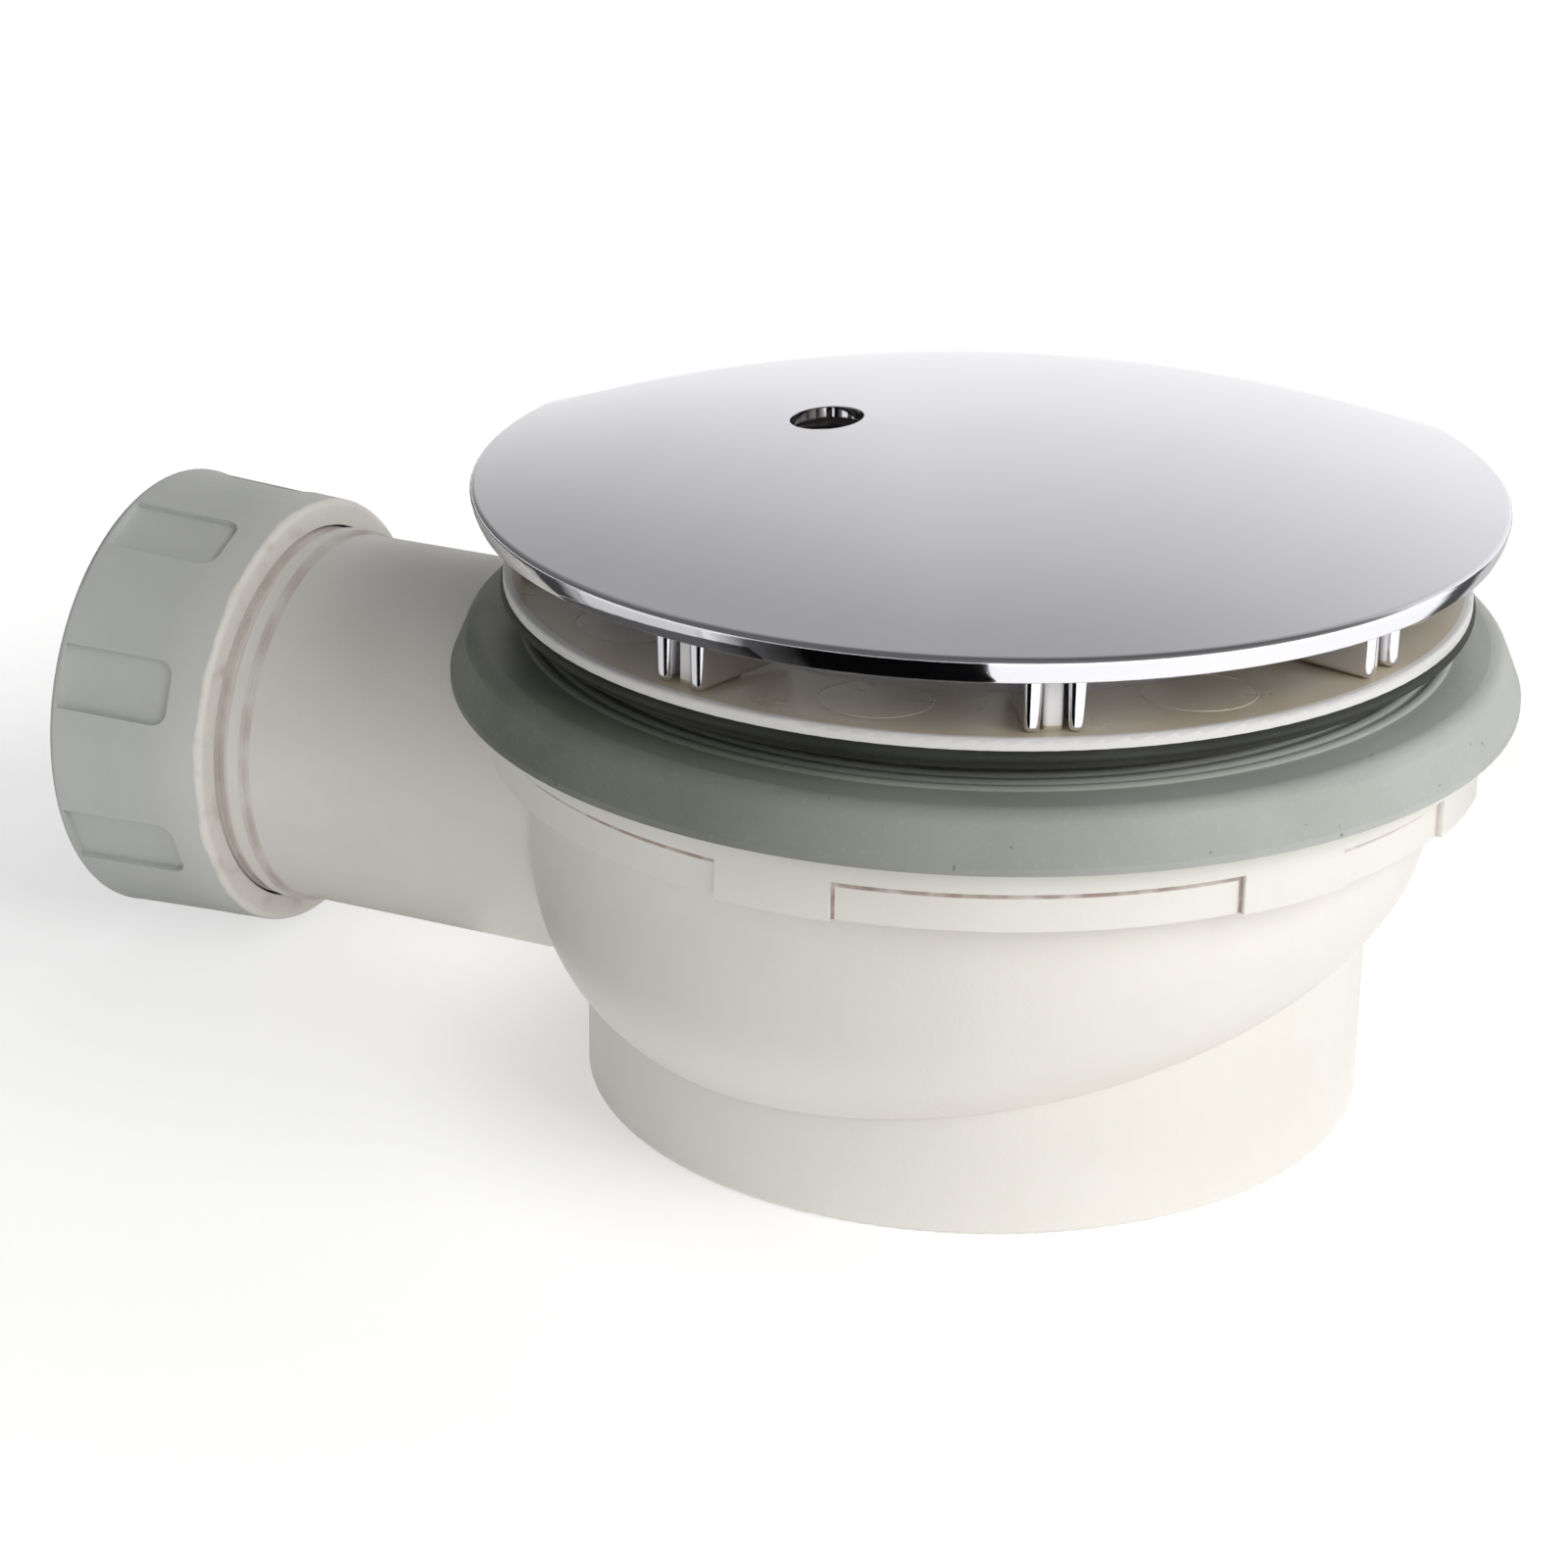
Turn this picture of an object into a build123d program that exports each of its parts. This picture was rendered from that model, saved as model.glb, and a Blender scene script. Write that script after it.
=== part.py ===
"""Shower trap for a 90 mm tray hole: domed cover, dished waste flange, tray gasket and side-outlet trap.

Millimetres, +Z up. The origin is the centre of the base cup's underside, and the outlet runs along -X.
"""

import os
from math import atan2, cos, radians, sin, sqrt, tan

from build123d import *

os.makedirs("parts", exist_ok=True)

# Clearances
thread_clearance = 0.3
seat_clearance = 0.3
weld_clearance = 0.2
seal_clearance = 0.15
rest_clearance = 0.05

# Base cup and the weir that holds the water seal
cup_radius = 44.7
cup_wall = 3.0
cup_floor = 2.6
cup_foot_round = 0.8
weir_height = 38.0

# Bowl: the collecting channel round the cup, whose floor falls towards the outlet
bowl_radius = 51.1
bowl_wall = 2.6
bowl_corner = 20.0
bowl_rim_height = 48.5
floor_reach = 60.0
floor_far_height = 31.2
floor_middle_height = 6.8
floor_near_height = 14.8

# Collar welded on the bowl: threaded neck, deck for the gasket, band with sunk panels
deck_thickness = 3.0
deck_lip = 2.5
deck_overhang = 1.1
band_drop = 7.7
panel_depth = 0.7
panel_height = 4.4
block_width = 13.0
block_angles = (0, 32.4, -32.4, 90, -90)
neck_wall = 2.9
neck_rise = 3.1
neck_drop = 4.0

# Tray gasket
gasket_overhang = 8.9
gasket_skirt_wall = 2.1
gasket_skirt_drop = 2.8
gasket_edge = 0.8
gasket_thickness = 3.3
gasket_bead_height = 0.4
gasket_bead_width = 1.2
gasket_bead_radii = (48.1, 50.1, 51.8)
gasket_slope_inset = 2.2
gasket_shoulder_round = 2.2
tray_gap = 3.5

# Waste flange, with a lug for each pair of fins on the cover
flange_radius = 54.0
flange_edge = 2.3
flange_lip_round = 0.5
flange_under_round = 1.6
dish_fall = 0.6
tail_radius = 42.0
tail_wall = 3.0
tail_length = 12.6
ledge_width = 4.4
ledge_depth = 2.6
ledge_thickness = 4.0
ledge_slope = 3.0
lug_length = 8.0
lug_inset = 1.2
lug_head_gap = 0.4
lug_clearance = 0.2
lug_round = 0.5
washer_thickness = 1.4
washer_width = 7.0

# Dip tube that hangs in the flange and reaches down into the cup
dip_wall = 2.0
dip_rim_thickness = 2.2
dip_foot_height = 8.5
dip_taper = 2.2
seal_section = 1.6
seal_groove_width = 2.0
grip_width = 3.2
grip_depth = 9.0

# Domed cover and its pairs of fins
dome_radius = 57.55
dome_rise = 8.3
dome_wall = 1.3
rim_height = 2.7
rim_inset = 0.8
rim_bulge = 0.15
rim_edge_round = 0.7
rim_foot = 2.8
inlet_gap = 7.1
lifting_hole_radius = 4.1
lifting_hole_place = 18.2
lifting_hole_turn = -150.0
fin_pairs = 8
fin_turn = 30.0
fin_spacing = 4.55
fin_thickness = 1.6
fin_draft = 2.0
fin_inset = 1.3
fin_length = 15.0
fin_edge_round = 0.6
fin_foot_round = 0.55

# Outlet stub and its compression nut
outlet_drop = 20.5
outlet_radius = 22.5
outlet_crown_gap = 0.1
outlet_crown_margin = 1.0
outlet_blend = 2.5
pipe_radius = 20.0
pipe_clearance = 0.25
socket_length = 20.0
outlet_bore_step = 0.9
stub_thread_height = 0.3
stub_thread_lead = 0.4
stub_shoulder_height = 0.5
stub_shoulder_length = 2.1
stub_shoulder_back = 3.8
nut_face_radius = 26.2
nut_end_radius = 27.2
nut_length = 20.7
nut_end_wall = 2.4
nut_edge_round = 0.8
nut_hole_clearance = 0.65
grip_panels = 8
grip_panel_turn = 21.2
grip_panel_width = 7.8
grip_panel_length = 14.8
grip_panel_rim = 1.0
grip_panel_depth = 0.8
grip_panel_corner = 2.0
slip_ring_thickness = 1.2
cone_seal_length = 4.6
cone_seal_nose = 3.6
cone_seal_nose_wall = 0.6
cone_seal_wall = 1.7
outlet_reach = 108.9

# Heights and radii that follow from the sizes above
deck_top = bowl_rim_height + deck_thickness
band_bore = bowl_radius + weld_clearance
band_bottom = bowl_rim_height - band_drop
neck_bore = tail_radius + thread_clearance
neck_radius = neck_bore + neck_wall
neck_top = deck_top + neck_rise
neck_bottom = bowl_rim_height - neck_drop
outlet_height = bowl_rim_height - outlet_drop
gasket_bore = neck_radius + seat_clearance
gasket_radius = bowl_radius + gasket_overhang
gasket_top = deck_top + gasket_thickness
skirt_bottom = deck_top - gasket_skirt_drop
skirt_bore = gasket_radius - gasket_skirt_wall
deck_radius = skirt_bore - seat_clearance
band_radius = deck_radius - deck_overhang
gasket_shoulder_radius = gasket_radius - gasket_slope_inset
flange_bottom = gasket_top + gasket_bead_height + tray_gap
dish_edge = flange_bottom + flange_edge
tail_bore = tail_radius - tail_wall
ledge_bore = tail_bore - ledge_width
ledge_top = dish_edge - dish_fall - ledge_depth
ledge_bottom = ledge_top - ledge_thickness
fin_end = flange_radius - flange_lip_round - fin_inset
fin_foot = dish_edge + rest_clearance
rim_bottom = dish_edge + inlet_gap
rim_top = rim_bottom + rim_height
dome_top = rim_top + dome_rise
rim_bore = dome_radius - rim_inset - rim_foot
cap_radius = (dome_radius**2 + dome_rise**2) / (2 * dome_rise)
cap_centre = dome_top - cap_radius
lug_top = rim_bottom - lug_head_gap
lug_thickness = fin_spacing - fin_thickness - 2 * inlet_gap * tan(radians(fin_draft)) - 2 * lug_clearance
outlet_crown = skirt_bottom - outlet_crown_gap
socket_radius = pipe_radius + pipe_clearance
outlet_bore = socket_radius - outlet_bore_step
thread_radius = outlet_radius + stub_thread_height
nut_start = outlet_reach - nut_length
nut_bore = thread_radius + thread_clearance
nut_hole = socket_radius + nut_hole_clearance
slip_ring_end = outlet_reach - nut_end_wall
cone_seal_end = slip_ring_end - slip_ring_thickness
cone_seal_start = cone_seal_end - cone_seal_length
stub_end = cone_seal_start + cone_seal_nose
shoulder_start = nut_start - stub_shoulder_back
shoulder_end = shoulder_start + stub_shoulder_length
shoulder_radius = outlet_radius + stub_shoulder_height
seal_bore = socket_radius + rest_clearance
seal_nose_radius = seal_bore + cone_seal_nose_wall
seal_end_radius = seal_bore + cone_seal_wall
seal_flare = (seal_end_radius - seal_nose_radius) / cone_seal_length
seal_mouth_radius = seal_nose_radius + seal_flare * cone_seal_nose
groove_radius = ledge_bore - seal_section
dip_bore = groove_radius - dip_wall
dip_rim_top = ledge_top + dip_rim_thickness
groove_middle = (ledge_top + ledge_bottom) / 2

# Sketch planes: in the two sections x is the radius and y runs along the axis of revolution
upright = Plane.XZ
outlet_section = Plane(origin=(0, 0, outlet_height), x_dir=(0, 0, 1), z_dir=(0, -1, 0))
outlet_plane = Plane(origin=(0, 0, outlet_height), x_dir=(0, -1, 0), z_dir=(-1, 0, 0))
outlet_axis = Axis((0, 0, outlet_height), (-1, 0, 0))


def cap_height(radius, depth):
    """Height of the dome's outside at a radius, or of the surface that lies a depth below it."""
    return cap_centre + sqrt((cap_radius - depth) ** 2 - radius**2)


def bowl_form(radius, lift, corner):
    """A round bowl with a falling floor: its radius, the floor's lift and its lower edge's rounding."""
    with BuildPart() as form:
        with BuildSketch(upright):
            with BuildLine():
                floor = ThreePointArc(
                    (-floor_reach, floor_near_height + lift),
                    (0, floor_middle_height + lift),
                    (floor_reach, floor_far_height + lift),
                )
                Polyline(
                    floor @ 1,
                    (floor_reach, bowl_rim_height),
                    (-floor_reach, bowl_rim_height),
                    floor @ 0,
                )
            make_face()
        extrude(amount=radius, both=True)
        with BuildSketch(Plane.XY):
            Circle(radius)
        extrude(amount=bowl_rim_height, mode=Mode.INTERSECT)
        fillet(form.edges().filter_by(GeomType.BSPLINE), corner)
    return form.part


# Base cup: its wall stands up inside the bowl as the weir
with BuildPart() as base_cup:
    with BuildSketch(Plane.XY):
        Circle(cup_radius)
    extrude(amount=weir_height)
    fillet(base_cup.edges().group_by(Axis.Z)[0], cup_foot_round)
    with BuildSketch(Plane.XY.offset(cup_floor)):
        Circle(cup_radius - cup_wall)
    extrude(amount=weir_height, mode=Mode.SUBTRACT)

# Trap bowl with the outlet stub. Faces aren't merged here, because merging would join the two halves
# of the bowl's rounded lower edge into one.
bowl_outside = bowl_form(bowl_radius, 0, bowl_corner)
bowl_inside = bowl_form(bowl_radius - bowl_wall, bowl_wall, bowl_corner - bowl_wall)

with BuildPart() as trap_bowl:
    add(bowl_outside, clean=False)
    with BuildSketch(outlet_plane):
        Circle(outlet_radius)
    extrude(amount=stub_end, clean=False)
    stub_joint = trap_bowl.edges().filter_by(GeomType.BSPLINE)
    fillet(stub_joint.filter_by_position(Axis.X, -bowl_radius, -bowl_corner), outlet_blend)
    with BuildSketch(outlet_section):
        with BuildLine():
            Polyline(
                (outlet_bore, shoulder_start),
                (shoulder_radius, shoulder_start),
                (shoulder_radius, shoulder_end),
                (outlet_radius, shoulder_end),
                (outlet_radius, nut_start - stub_thread_lead),
                (thread_radius, nut_start - stub_thread_lead),
                (thread_radius, stub_end),
                (outlet_bore, stub_end),
                close=True,
            )
        make_face()
    revolve(axis=outlet_axis, clean=False)
    with BuildSketch(Plane.XY.offset(bowl_rim_height)):
        Circle(bowl_radius)
    extrude(amount=outlet_radius, clean=False, mode=Mode.SUBTRACT)
    with BuildSketch(Plane.XY.offset(outlet_crown)):
        Circle(gasket_radius + outlet_crown_margin)
    extrude(amount=outlet_radius, clean=False, mode=Mode.SUBTRACT)
    add(bowl_inside, clean=False, mode=Mode.SUBTRACT)
    with BuildSketch(Plane.XY):
        Circle(cup_radius + weld_clearance)
    extrude(amount=bowl_rim_height, clean=False, mode=Mode.SUBTRACT)
    with BuildSketch(outlet_plane):
        Circle(outlet_bore)
    extrude(amount=outlet_reach, clean=False, mode=Mode.SUBTRACT)
    with BuildSketch(outlet_plane.offset(stub_end - socket_length)):
        Circle(socket_radius)
    extrude(amount=outlet_reach, clean=False, mode=Mode.SUBTRACT)
    with BuildSketch(outlet_section):
        with BuildLine():
            Polyline(
                (0, cone_seal_start - rest_clearance),
                (seal_nose_radius + seal_clearance, cone_seal_start - rest_clearance),
                (seal_mouth_radius + seal_clearance, stub_end),
                (0, stub_end),
                close=True,
            )
        make_face()
    revolve(axis=outlet_axis, clean=False, mode=Mode.SUBTRACT)

# Body collar: threaded neck, gasket deck and the band with its blocks
with BuildPart() as panels:
    with BuildSketch(Plane.XY.offset(band_bottom)):
        Circle(band_radius + panel_depth)
        Circle(band_radius - panel_depth, mode=Mode.SUBTRACT)
        for angle in block_angles:
            with Locations(Location((0, 0, 0), (0, 0, angle))):
                with Locations((band_radius, 0)):
                    Rectangle(4 * panel_depth, block_width, mode=Mode.SUBTRACT)
    extrude(amount=panel_height)

with BuildPart() as stub_room:
    with BuildSketch(outlet_plane.offset(bowl_radius - 2 * bowl_wall)):
        Circle(outlet_radius + outlet_blend)
    extrude(amount=outlet_reach)
    split(bisect_by=Plane.XY.offset(outlet_crown + weld_clearance), keep=Keep.BOTTOM)

with BuildPart() as body_collar:
    with BuildSketch(upright):
        with BuildLine():
            Polyline(
                (neck_bore, neck_bottom),
                (neck_radius, neck_bottom),
                (neck_radius, bowl_rim_height),
                (band_bore, bowl_rim_height),
                (band_bore, band_bottom),
                (band_radius, band_bottom),
                (band_radius, deck_top - deck_lip),
                (deck_radius, deck_top - deck_lip),
                (deck_radius, deck_top),
                (neck_radius, deck_top),
                (neck_radius, neck_top),
                (neck_bore, neck_top),
                close=True,
            )
        make_face()
    revolve(axis=Axis.Z)
    add(panels.part, mode=Mode.SUBTRACT)
    add(stub_room.part, mode=Mode.SUBTRACT)

# Tray gasket: a beaded ring with a skirt that hangs over the deck
with BuildPart() as tray_gasket:
    with BuildSketch(upright) as gasket_section:
        with BuildLine():
            Polyline(
                (gasket_bore, deck_top),
                (skirt_bore, deck_top),
                (skirt_bore, skirt_bottom),
                (gasket_radius, skirt_bottom),
                (gasket_radius, skirt_bottom + gasket_edge),
                (gasket_shoulder_radius, gasket_top),
                (gasket_bore, gasket_top),
                close=True,
            )
        make_face()
        fillet(gasket_section.vertices().group_by(Axis.Y)[-1].sort_by(Axis.X)[-1], gasket_shoulder_round)
        for bead_radius in gasket_bead_radii:
            with Locations((bead_radius, gasket_top)):
                Ellipse(gasket_bead_width / 2, gasket_bead_height)
    revolve(axis=Axis.Z)

# Waste flange: rounded lip, shallow dish, threaded tail, ledge for the dip tube and the lugs
with BuildPart() as waste_flange:
    with BuildSketch(upright) as flange_section:
        with BuildLine():
            Polyline(
                (tail_bore, flange_bottom - tail_length),
                (tail_radius, flange_bottom - tail_length),
                (tail_radius, flange_bottom),
                (flange_radius, flange_bottom),
                (flange_radius, dish_edge),
                (fin_end, dish_edge),
                (tail_bore, dish_edge - dish_fall),
                (tail_bore, ledge_top),
                (ledge_bore, ledge_top),
                (ledge_bore, ledge_bottom),
                (tail_bore, ledge_bottom - ledge_slope),
                close=True,
            )
        make_face()
        lip_corners = flange_section.vertices().group_by(Axis.X)[-1].sort_by(Axis.Y)
        fillet(lip_corners[1], flange_lip_round)
        fillet(lip_corners[0], flange_under_round)
    revolve(axis=Axis.Z)
    with BuildSketch(Plane.XY.offset(dish_edge - flange_edge / 2)):
        with PolarLocations(fin_end - lug_inset - lug_length / 2, fin_pairs, start_angle=fin_turn):
            RectangleRounded(lug_length, lug_thickness, lug_round)
    extrude(amount=lug_top - dish_edge + flange_edge / 2)
    fillet(waste_flange.edges().group_by(Axis.Z)[-1], lug_round)

with BuildPart() as flange_washer:
    with BuildSketch(Plane.XY.offset(flange_bottom - washer_thickness)):
        Circle(gasket_bore + washer_width)
        Circle(gasket_bore, mode=Mode.SUBTRACT)
    extrude(amount=washer_thickness)

# Dip tube with its cross grip, and the ring that seals it in the flange
with BuildPart() as dip_tube:
    with BuildSketch(upright):
        with BuildLine():
            Polyline(
                (dip_bore - dip_taper, dip_foot_height),
                (groove_radius - dip_taper, dip_foot_height),
                (groove_radius, ledge_bottom - ledge_slope),
                (groove_radius, ledge_bottom),
                (ledge_bore - seat_clearance, ledge_bottom),
                (ledge_bore - seat_clearance, ledge_top),
                (tail_bore - seat_clearance, ledge_top),
                (tail_bore - seat_clearance, dip_rim_top),
                (dip_bore, dip_rim_top),
                (dip_bore, ledge_bottom - ledge_slope),
                close=True,
            )
        make_face()
        with Locations((ledge_bore, groove_middle)):
            Rectangle(2 * seal_section, seal_groove_width, mode=Mode.SUBTRACT)
    revolve(axis=Axis.Z)
    with BuildSketch(Plane.XY.offset(dip_rim_top - grip_depth)):
        Rectangle(2 * dip_bore + dip_wall, grip_width)
        Rectangle(grip_width, 2 * dip_bore + dip_wall)
    extrude(amount=grip_depth)

with BuildPart() as dip_tube_seal:
    with BuildSketch(upright):
        with Locations((groove_radius + seal_section / 2, groove_middle)):
            Circle(seal_section / 2 - rest_clearance)
    revolve(axis=Axis.Z)

# Domed cover: the fins are drawn tall, cut off inside the shell's thickness and joined to it
with BuildPart() as fins:
    with BuildSketch(Plane.XY.offset(fin_foot)):
        with PolarLocations(fin_end - fin_length / 2, fin_pairs, start_angle=fin_turn):
            with Locations((0, fin_spacing / 2), (0, -fin_spacing / 2)):
                RectangleRounded(fin_length, fin_thickness, fin_edge_round)
    extrude(amount=dome_top - fin_foot, taper=-fin_draft)
    fillet(fins.edges().group_by(Axis.Z)[0], fin_foot_round)
    with BuildSketch(upright):
        with BuildLine():
            fin_roof = TangentArc(
                (0, dome_top - dome_wall / 2),
                (dome_radius, cap_height(dome_radius, dome_wall / 2)),
                tangent=(1, 0),
            )
            Polyline(fin_roof @ 1, (dome_radius, dish_edge), (0, dish_edge), fin_roof @ 0)
        make_face()
    revolve(axis=Axis.Z, mode=Mode.INTERSECT)

with BuildPart() as dome_cover:
    with BuildSketch(upright) as cover_section:
        with BuildLine():
            outside = TangentArc((0, dome_top), (dome_radius, rim_top), tangent=(1, 0))
            rim_edge = SagittaArc(outside @ 1, (dome_radius - rim_inset, rim_bottom), rim_bulge)
            inside = TangentArc(
                (0, dome_top - dome_wall), (rim_bore, cap_height(rim_bore, dome_wall)), tangent=(1, 0)
            )
            Polyline(rim_edge @ 1, (rim_bore, rim_bottom), inside @ 1)
            Line(inside @ 0, outside @ 0)
        make_face()
        fillet(cover_section.vertices().sort_by(Axis.X)[-1], rim_edge_round)
    revolve(axis=Axis.Z)
    hole_x = lifting_hole_place * cos(radians(lifting_hole_turn))
    hole_y = lifting_hole_place * sin(radians(lifting_hole_turn))
    with BuildSketch(Plane.XY.offset(rim_top)):
        with Locations((hole_x, hole_y)):
            Circle(lifting_hole_radius)
    extrude(amount=dome_rise, mode=Mode.SUBTRACT)
    add(fins.part)

# Outlet nut with its grip panels, slip ring and cone seal
with BuildPart() as outlet_nut:
    with BuildSketch(outlet_section) as nut_section:
        with BuildLine():
            Polyline(
                (nut_bore, nut_start),
                (nut_face_radius, nut_start),
                (nut_end_radius, outlet_reach),
                (nut_hole, outlet_reach),
                (nut_hole, slip_ring_end),
                (nut_bore, slip_ring_end),
                close=True,
            )
        make_face()
        fillet(nut_section.vertices().group_by(Axis.X)[-2:], nut_edge_round)
    revolve(axis=outlet_axis)
    panel_floor = sqrt(nut_end_radius**2 - (grip_panel_width / 2) ** 2) - grip_panel_depth
    nut_taper = atan2(nut_end_radius - nut_face_radius, nut_length)
    for panel in range(grip_panels):
        turn = radians(grip_panel_turn + 360 * panel / grip_panels)
        outward = Vector(0, -cos(turn), sin(turn))
        panel_plane = Plane(
            origin=Vector(-outlet_reach, 0, outlet_height) + outward * panel_floor,
            x_dir=outward * sin(nut_taper) - Vector(cos(nut_taper), 0, 0),
            z_dir=outward * cos(nut_taper) + Vector(sin(nut_taper), 0, 0),
        )
        with BuildSketch(panel_plane):
            with Locations((-grip_panel_rim, 0)):
                Rectangle(grip_panel_length / 2, grip_panel_width, align=(Align.MAX, Align.CENTER))
            with Locations((-grip_panel_rim - grip_panel_length / 2, 0)):
                RectangleRounded(grip_panel_length, grip_panel_width, grip_panel_corner)
        extrude(amount=nut_end_radius, mode=Mode.SUBTRACT)

with BuildPart() as slip_ring:
    with BuildSketch(outlet_plane.offset(cone_seal_end + rest_clearance)):
        Circle(nut_bore - seal_clearance)
        Circle(nut_hole, mode=Mode.SUBTRACT)
    extrude(amount=slip_ring_thickness - 2 * rest_clearance)

with BuildPart() as cone_seal:
    with BuildSketch(outlet_section):
        with BuildLine():
            Polyline(
                (seal_bore, cone_seal_start),
                (seal_nose_radius, cone_seal_start),
                (seal_end_radius, cone_seal_end),
                (seal_bore, cone_seal_end),
                close=True,
            )
        make_face()
    revolve(axis=outlet_axis)

base_cup.part.label = "base_cup"
export_step(base_cup.part, "parts/base_cup.step")

trap_bowl.part.label = "trap_bowl"
export_step(trap_bowl.part, "parts/trap_bowl.step")

body_collar.part.label = "body_collar"
export_step(body_collar.part, "parts/body_collar.step")

tray_gasket.part.label = "tray_gasket"
export_step(tray_gasket.part, "parts/tray_gasket.step")

waste_flange.part.label = "waste_flange"
export_step(waste_flange.part, "parts/waste_flange.step")

flange_washer.part.label = "flange_washer"
export_step(flange_washer.part, "parts/flange_washer.step")

dip_tube.part.label = "dip_tube"
export_step(dip_tube.part, "parts/dip_tube.step")

dip_tube_seal.part.label = "dip_tube_seal"
export_step(dip_tube_seal.part, "parts/dip_tube_seal.step")

dome_cover.part.label = "dome_cover"
export_step(dome_cover.part, "parts/dome_cover.step")

outlet_nut.part.label = "outlet_nut"
export_step(outlet_nut.part, "parts/outlet_nut.step")

slip_ring.part.label = "slip_ring"
export_step(slip_ring.part, "parts/slip_ring.step")

cone_seal.part.label = "cone_seal"
export_step(cone_seal.part, "parts/cone_seal.step")
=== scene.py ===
"""Shower trap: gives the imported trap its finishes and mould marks, and sets it in a plain white studio.

Metres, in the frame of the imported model: +Z up, the outlet along -X, the origin under the base cup.
"""

import logging
import math
from collections.abc import Mapping, Sequence
from dataclasses import dataclass
from enum import Enum
from typing import Any, Union

import bmesh
import bpy
from mathutils import Matrix, Vector, noise
from mathutils.bvhtree import BVHTree


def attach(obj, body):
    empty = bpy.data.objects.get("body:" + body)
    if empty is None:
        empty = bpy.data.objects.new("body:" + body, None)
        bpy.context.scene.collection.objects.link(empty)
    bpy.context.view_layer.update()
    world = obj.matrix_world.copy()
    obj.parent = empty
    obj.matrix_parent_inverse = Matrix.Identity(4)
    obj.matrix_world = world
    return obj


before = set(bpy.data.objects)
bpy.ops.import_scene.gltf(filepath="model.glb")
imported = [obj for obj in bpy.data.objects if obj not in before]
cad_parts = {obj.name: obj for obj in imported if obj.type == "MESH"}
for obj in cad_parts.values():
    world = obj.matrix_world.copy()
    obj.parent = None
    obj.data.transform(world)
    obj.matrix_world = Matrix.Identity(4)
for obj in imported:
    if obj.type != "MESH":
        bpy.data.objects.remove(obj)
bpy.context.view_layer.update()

log = logging.getLogger("shower_trap")

Colour = tuple[float, float, float]
Point = tuple[float, float, float]

BEVEL_SAMPLES = 6
MERGE_DISTANCE = 1e-7


class Slot(Enum):
    """The record's material slots."""

    BODY = "body_plastic"
    GASKET = "gasket_rubber"
    FLANGE = "flange_plastic"
    RUBBER = "black_rubber"
    CHROME = "chrome_plating"
    NUT = "nut_plastic"


@dataclass(frozen=True)
class Signal:
    """A value in a shader: an output socket that can stand in a Python expression."""

    sheet: "ShaderSheet"
    socket: bpy.types.NodeSocket

    def _math(self, operation: str, *values: Union["Signal", float]) -> "Signal":
        """Adds one Math node that works on the values in their order."""
        made = self.sheet.node("ShaderNodeMath", {"operation": operation}, dict(enumerate(values)))
        return Signal(self.sheet, made.outputs[0])

    def __add__(self, other: Union["Signal", float]) -> "Signal":
        """The sum."""
        return self._math("ADD", self, other)

    __radd__ = __add__

    def __sub__(self, other: Union["Signal", float]) -> "Signal":
        """The difference."""
        return self._math("SUBTRACT", self, other)

    def __rsub__(self, other: Union["Signal", float]) -> "Signal":
        """The difference, with this value taken away."""
        return self._math("SUBTRACT", other, self)

    def __mul__(self, other: Union["Signal", float]) -> "Signal":
        """The product."""
        return self._math("MULTIPLY", self, other)

    __rmul__ = __mul__

    def __truediv__(self, other: Union["Signal", float]) -> "Signal":
        """The quotient."""
        return self._math("DIVIDE", self, other)

    def __abs__(self) -> "Signal":
        """The size without its sign."""
        return self._math("ABSOLUTE", self)

    def root(self) -> "Signal":
        """The square root."""
        return self._math("SQRT", self)

    def nearest_whole(self) -> "Signal":
        """The nearest whole number."""
        return self._math("ROUND", self)

    def most(self, other: Union["Signal", float]) -> "Signal":
        """The larger of two values."""
        return self._math("MAXIMUM", self, other)

    def angle_over(self, other: "Signal") -> "Signal":
        """The angle of the point (other, this), in radians."""
        return self._math("ARCTAN2", self, other)

    def rise(self, low: float, high: float) -> "Signal":
        """A smooth step from 0 at low to 1 at high."""
        made = self.sheet.node(
            "ShaderNodeMapRange",
            {"interpolation_type": "SMOOTHSTEP"},
            {"Value": self, "From Min": low, "From Max": high},
        )
        return Signal(self.sheet, made.outputs["Result"])

    def fall(self, low: float, high: float) -> "Signal":
        """A smooth step from 1 at low to 0 at high."""
        return 1 - self.rise(low, high)

    def line(self, place: float, width: float) -> "Signal":
        """A soft line of a width about one place: 1 on it and 0 beside it."""
        return abs(self - place).fall(width / 4, width / 2)


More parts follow.
